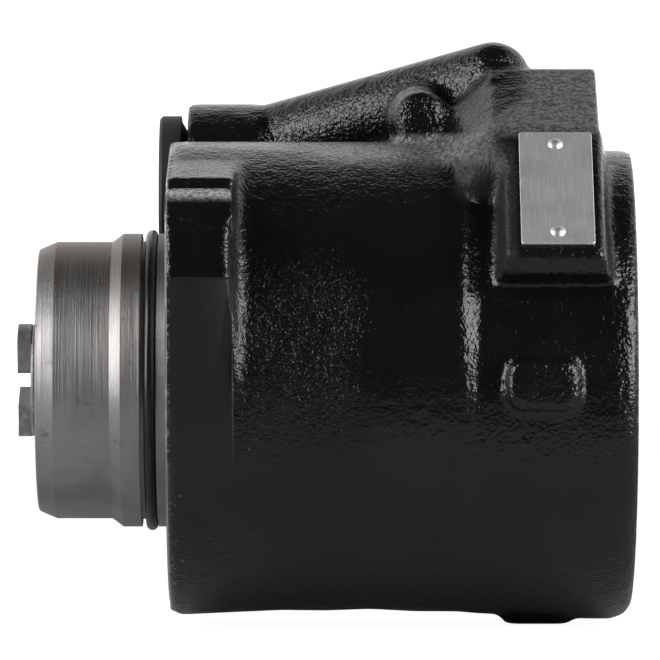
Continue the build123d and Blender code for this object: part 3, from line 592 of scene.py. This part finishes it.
def housing_bores():
    """The bores: (bottom, mouth, radius at the bottom, radius at the mouth, how far the cutter runs on)."""
    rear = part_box("pump_housing")[1].x
    pot_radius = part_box("rear_cover")[1].y
    pot_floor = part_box("front_port_plate")[0].x
    bush_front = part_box("front_bush")[0].x
    groove_low, groove_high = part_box("cover_snap_ring")
    plug_low, plug_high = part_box("valve_plug")
    spool_low, spool_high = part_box("valve_spool")
    valve_axis = Vector(((plug_low.x + plug_high.x) / 2, 0, (plug_low.z + plug_high.z) / 2))
    valve_bottom = valve_axis + Vector((0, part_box("valve_spring")[0].y, 0))
    valve_mouth = valve_axis + Vector((0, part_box("valve_plug_seal")[0].y, 0))
    valve_radius = (spool_high.x - spool_low.x) / 2 + SLIDING_FIT
    port_bottom, port_mouth, port_radius = pressure_port()
    suction = Vector(MOUNTS["suction_port"]["pos_m"])
    suction_bottom = suction + Vector((SUCTION_DEPTH, 0, 0))

    def on_shaft(x):
        return Vector((x, 0, 0))

    return [
        (on_shaft(pot_floor + 1.0 * MM), on_shaft(0), SHAFT_HOLE_R, SHAFT_HOLE_R, THROUGH),
        (on_shaft(bush_front), on_shaft(0), BUSH_SEAT_R, BUSH_SEAT_R, THROUGH),
        (on_shaft(pot_floor), on_shaft(rear), pot_radius, pot_radius, THROUGH),
        (on_shaft(groove_low.x), on_shaft(groove_high.x), groove_high.y, groove_high.y, 0.0),
        (on_shaft(rear - LEAD_IN_LENGTH), on_shaft(rear), pot_radius, pot_radius + LEAD_IN_RISE, 0.3 * MM),
        (port_bottom, port_mouth, port_radius, port_radius, THROUGH),
        (valve_bottom, valve_mouth, valve_radius, valve_radius, THROUGH),
        (suction_bottom, suction, SUCTION_BORE_R, SUCTION_BORE_R, THROUGH),
    ]


def flange_threads():
    """The two blind threads in the ears, laid out as the bores are."""
    radius = MOUNTS["flange_bolts"]["dims"]["hole_r_mm"] * MM
    return [
        (Vector((BOLT_DEPTH, y, z)), Vector((0, y, z)), radius, radius, THROUGH)
        for y, z in bolt_places()]


def hollow_patch():
    """A wedge that closes the groove which the bolt thread leaves in the hollow behind the near ear."""
    wall = 17.2 * MM
    run_out = 22.2 * MM          # where the hollow meets the barrel
    hollow = 4.4 * MM            # its radius
    floor = 58.0 * MM            # well inside the barrel
    barrel = 63.9 * MM
    barrel_z = 1.1 * MM
    width = math.radians(14)
    profile = [(wall, floor), (run_out, floor)]
    for step in range(9):
        turn = math.radians(90 * step / 8)
        profile.append((run_out - hollow * math.sin(turn), barrel + hollow * (1 - math.cos(turn))))
    profile.append((wall, barrel + hollow))
    y, z = bolt_places()[0]
    start = math.atan2(z - barrel_z, y) - width / 2
    bm = bmesh.new()
    verts = [bm.verts.new((x, r * math.cos(start), barrel_z + r * math.sin(start))) for x, r in profile]
    edges = [bm.edges.new(pair) for pair in zip(verts, verts[1:] + verts[:1])]
    spin(bm, verts + edges, (0, 0, barrel_z), (1, 0, 0), width, 10)
    bmesh.ops.holes_fill(bm, edges=[e for e in bm.edges if e.is_boundary], sides=0)
    bmesh.ops.recalc_face_normals(bm, faces=bm.faces)
    return mesh_from(bm, "hollow_patch")


def cut_at(bm, x, keep_side):
    """Cuts square to the shaft and keeps one side: -1 for the drive end, 1 for the rear."""
    bmesh.ops.bisect_plane(
        bm, geom=bm.verts[:] + bm.edges[:] + bm.faces[:], dist=1e-6,
        plane_co=(x, 0, 0), plane_no=(-keep_side, 0, 0), clear_outer=True)


def cast_blank():
    """The casting behind the mounting face, closed, with every bore filled."""
    spare = 0.9 * MM             # the fillings are wider than the bores and end just inside the skin
    bm = merged_copy("pump_housing")
    cut_at(bm, 0, 1)
    bmesh.ops.holes_fill(bm, edges=[e for e in bm.edges if e.is_boundary], sides=0)
    for bottom, mouth, narrow, wide, _ in housing_bores():
        along = (mouth - bottom).normalized()
        radius = max(narrow, wide) + spare
        cone(bm, bottom - along * (0.6 * MM), mouth - along * (0.1 * MM), radius, radius)
    for bottom, mouth, narrow, _, _ in flange_threads():
        radius = narrow + spare
        cone(bm, bottom, mouth + Vector((0.1 * MM, 0, 0)), radius, radius)
    bm.from_mesh(hollow_patch())
    return bm


def round_the_ears(mesh):
    """Brings the outer corner of each ear in to a round of the ear radius."""
    for side, top in ((-1, NEAR_EAR_TOP), (1, FAR_EAR_TOP)):
        centre_y = EAR_FACE - EAR_R
        centre_z = top - EAR_R
        for vertex in mesh.vertices:
            out = side * vertex.co.y - centre_y
            up = -side * vertex.co.z - centre_z
            reach = math.hypot(out, up)
            if vertex.co.x < EAR_BACK and out > 0 and up > 0 and reach > EAR_R:
                vertex.co.y = side * (centre_y + out * EAR_R / reach)
                vertex.co.z = -side * (centre_z + up * EAR_R / reach)


# cast fillets that are softer than the skin: (lowest corner, highest corner, rounds of smoothing)
SOFT_SPOTS = (
    ((0.076, -0.060, 0.0545), (0.0975, 0.012, 0.0815), 22),
    ((0.050, -0.030, 0.0600), (0.0800, 0.004, 0.0840), 7),
)


def soften_the_fillets(mesh):
    """Blends the ramp, the port block and the small dome together, as thick paint on a cast fillet does."""
    bm = bmesh.new()
    bm.from_mesh(mesh)
    for low, high, rounds in SOFT_SPOTS:
        spot = [v for v in bm.verts if all(a < c < b for a, c, b in zip(low, v.co, high))]
        for _ in range(rounds):
            bmesh.ops.smooth_vert(
                bm, verts=spot, factor=0.5, use_axis_x=True, use_axis_y=True, use_axis_z=True)
    bm.to_mesh(mesh)
    bm.free()


def milled_side():
    """The block of air at the near ear's side, from its step down to where the barrel takes over."""
    front = -2.0 * MM
    depth = 20.0 * MM
    low = -12.0 * MM
    outside = -80.0 * MM
    corners = ((-63.2 * MM, low), (-66.6 * MM, STEP_FOOT), (outside, STEP_FOOT), (outside, low))
    bm = bmesh.new()
    face = bm.faces.new([bm.verts.new((front, y, z)) for y, z in corners])
    made = bmesh.ops.extrude_face_region(bm, geom=[face])
    bmesh.ops.translate(
        bm, vec=(depth, 0, 0), verts=[v for v in made["geom"] if isinstance(v, bmesh.types.BMVert)])
    bmesh.ops.recalc_face_normals(bm, faces=bm.faces)
    return mesh_from(bm, "milled_side")


def bore_cutter(bottom, mouth, narrow, wide, run_on):
    """A closed bar that cuts one bore cleanly through its mouth."""
    bm = bmesh.new()
    along = (mouth - bottom).normalized()
    slope = (wide - narrow) / (mouth - bottom).length
    segments = 144 if wide > WIDE_BORE else 72
    cone(bm, bottom, mouth + along * run_on, narrow, wide + slope * run_on, segments)
    return mesh_from(bm, "cutter")


def housing_casting():
    """The painted casting: soft cast skin, then crisp bores cut one after another."""
    work = temporary(mesh_from(cast_blank(), "casting_work"))
    remesh = work.modifiers.new("skin", "REMESH")
    remesh.mode = "VOXEL"
    remesh.voxel_size = SKIN_GRAIN
    skin = baked(work)
    round_the_ears(skin)
    soften_the_fillets(skin)
    work = temporary(skin)
    soften = work.modifiers.new("soften", "SMOOTH")
    soften.factor = 0.5
    soften.iterations = 6
    work = temporary(baked(work))
    cutters = [temporary(bore_cutter(*row)) for row in housing_bores() + flange_threads()]
    cutters.append(temporary(milled_side()))
    for cutter in cutters:
        cut = work.modifiers.new("cut", "BOOLEAN")
        cut.operation = "DIFFERENCE"
        cut.solver = "MANIFOLD"
        cut.object = cutter
    mesh = baked(work)
    for cutter in cutters:
        bpy.data.objects.remove(cutter)
    smooth_by_angle(mesh, 38)
    stand_in("housing_casting", mesh, "pump_housing", "black_enamel")


def spigot_turned():
    """The machined pilot spigot, crisp from the frame, closed at the mounting face by a ring."""
    bm = merged_copy("pump_housing")
    cut_at(bm, -0.02 * MM, -1)
    bmesh.ops.bridge_loops(bm, edges=[e for e in bm.edges if e.is_boundary])
    bmesh.ops.recalc_face_normals(bm, faces=bm.faces)
    mesh = mesh_from(bm, "spigot_turned")
    smooth_by_angle(mesh, 12)
    stand_in("spigot_turned", mesh, "pump_housing", "turned_iron")


# ------------------------------------------------------------------ small pieces
def domed_rivets():
    """The two rivets of the name plate: shallow domes on the sloping plate, closed underneath."""
    low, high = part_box("plate_rivets")
    radius = (high.x - low.x) / 2
    height = 1.1 * MM
    sphere = (radius ** 2 + height ** 2) / (2 * height)
    out = Vector((0, -1, 1)).normalized()
    up = Vector((0, 1, 1)).normalized()
    middle = (low + high) / 2 - out * (height / 2)
    spacing = ((high.z - low.z) - math.sqrt(2) * radius - height / math.sqrt(2)) * math.sqrt(2)
    bm = bmesh.new()
    for side in (-1, 1):
        centre = middle + up * (side * spacing / 2)
        rim = []
        for step in range(9):
            turn = math.asin(radius / sphere) * step / 8
            rise = sphere * math.cos(turn) - sphere + height
            rim.append(bm.verts.new(centre + out * rise + Vector((sphere * math.sin(turn), 0, 0))))
        rim.append(bm.verts.new(centre))
        edges = [bm.edges.new(pair) for pair in zip(rim, rim[1:])]
        spin(bm, rim + edges, centre, out, math.tau, 48, closed=True)
    bmesh.ops.remove_doubles(bm, verts=bm.verts, dist=1e-7)
    bmesh.ops.recalc_face_normals(bm, faces=bm.faces)
    mesh = mesh_from(bm, "domed_rivets")
    smooth_by_angle(mesh, 40)
    stand_in("domed_rivets", mesh, "plate_rivets")


def coil_spring(node, wire, coils):
    """A wound spring along Y in place of its plain sleeve."""
    low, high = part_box(node)
    middle = (low + high) / 2
    length = high.y - low.y
    steps = 28 * coils           # 28 to the turn
    start = Vector((high.x - wire / 2, low.y + wire / 2, middle.z))
    bm = bmesh.new()
    bmesh.ops.create_circle(
        bm, cap_ends=True, segments=14, radius=wire / 2, matrix=Matrix.Translation(start))
    spin(bm, bm.verts[:] + bm.edges[:] + bm.faces[:], middle, (0, 1, 0), math.tau * coils, steps,
         rise=(0, (length - wire) / steps, 0))
    bmesh.ops.recalc_face_normals(bm, faces=bm.faces)
    mesh = mesh_from(bm, node + "_wound")
    smooth_by_angle(mesh, 50)
    piece = stand_in(node + "_wound", mesh, node)
    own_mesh(piece)


def thread_ridge(name, bottom, mouth, radius, pitch=1.5 * MM):
    """The helical ridge of a tapped hole, its root sunk in the wall of the bore."""
    root_sink = 0.15 * MM
    half_root = 0.42 * pitch
    crest = 0.55 * pitch
    first = 0.6 * pitch
    steps_per_turn = 40
    along = (mouth - bottom).normalized()
    side = along.orthogonal().normalized()
    coils = int((mouth - bottom).length / pitch) - 1
    bm = bmesh.new()
    bm.faces.new([
        bm.verts.new(bottom + side * (radius + outward) + along * (first + rise))
        for outward, rise in ((root_sink, -half_root), (-crest, 0.0), (root_sink, half_root))])
    section = bm.verts[:] + bm.edges[:] + bm.faces[:]
    spin(bm, section, bottom, along, math.tau * coils, steps_per_turn * coils,
         rise=along * (pitch / steps_per_turn))
    bmesh.ops.recalc_face_normals(bm, faces=bm.faces)
    mesh = mesh_from(bm, name)
    smooth_by_angle(mesh, 30)
    place_piece(name, mesh, "pump_housing", "turned_iron")


def tapped_threads():
    """Threads in the open holes: the pressure port on top and the two flange holes."""
    thread_ridge("pressure_port_thread", *pressure_port())
    for name, (bottom, mouth, radius, _, _) in zip(("near_ear_thread", "far_ear_thread"), flange_threads()):
        thread_ridge(name, bottom, mouth, radius)


def spigot_ring():
    """The moulded O-ring in the spigot groove: a true round section, spun round the shaft."""
    low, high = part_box("spigot_o_ring")
    section = (high.x - low.x) / 2
    bm = bmesh.new()
    bmesh.ops.create_circle(
        bm, segments=28, radius=section,
        matrix=Matrix.Translation(((low.x + high.x) / 2, high.y - section, 0)))
    spin(bm, bm.verts[:] + bm.edges[:], (0, 0, 0), (1, 0, 0), math.tau, 160, closed=True)
    bmesh.ops.recalc_face_normals(bm, faces=bm.faces)
    mesh = mesh_from(bm, "spigot_ring_moulded")
    mesh.shade_smooth()
    stand_in("spigot_ring_moulded", mesh, "spigot_o_ring")


# ------------------------------------------------------------------ assembly
bpy.context.scene.view_settings.view_transform = "Standard"
set_camera()
set_lamps()
set_world()
set_floor()
housing_casting()
spigot_turned()
spigot_ring()
domed_rivets()
coil_spring("valve_spring", 1.6 * MM, 4)
coil_spring("relief_spring", 1.0 * MM, 6)
tapped_threads()
OWN_FORM = ("pump_housing", "spigot_o_ring", "plate_rivets", "valve_spring", "relief_spring")
for node in NODES:
    if node not in OWN_FORM:
        edged_piece(node)
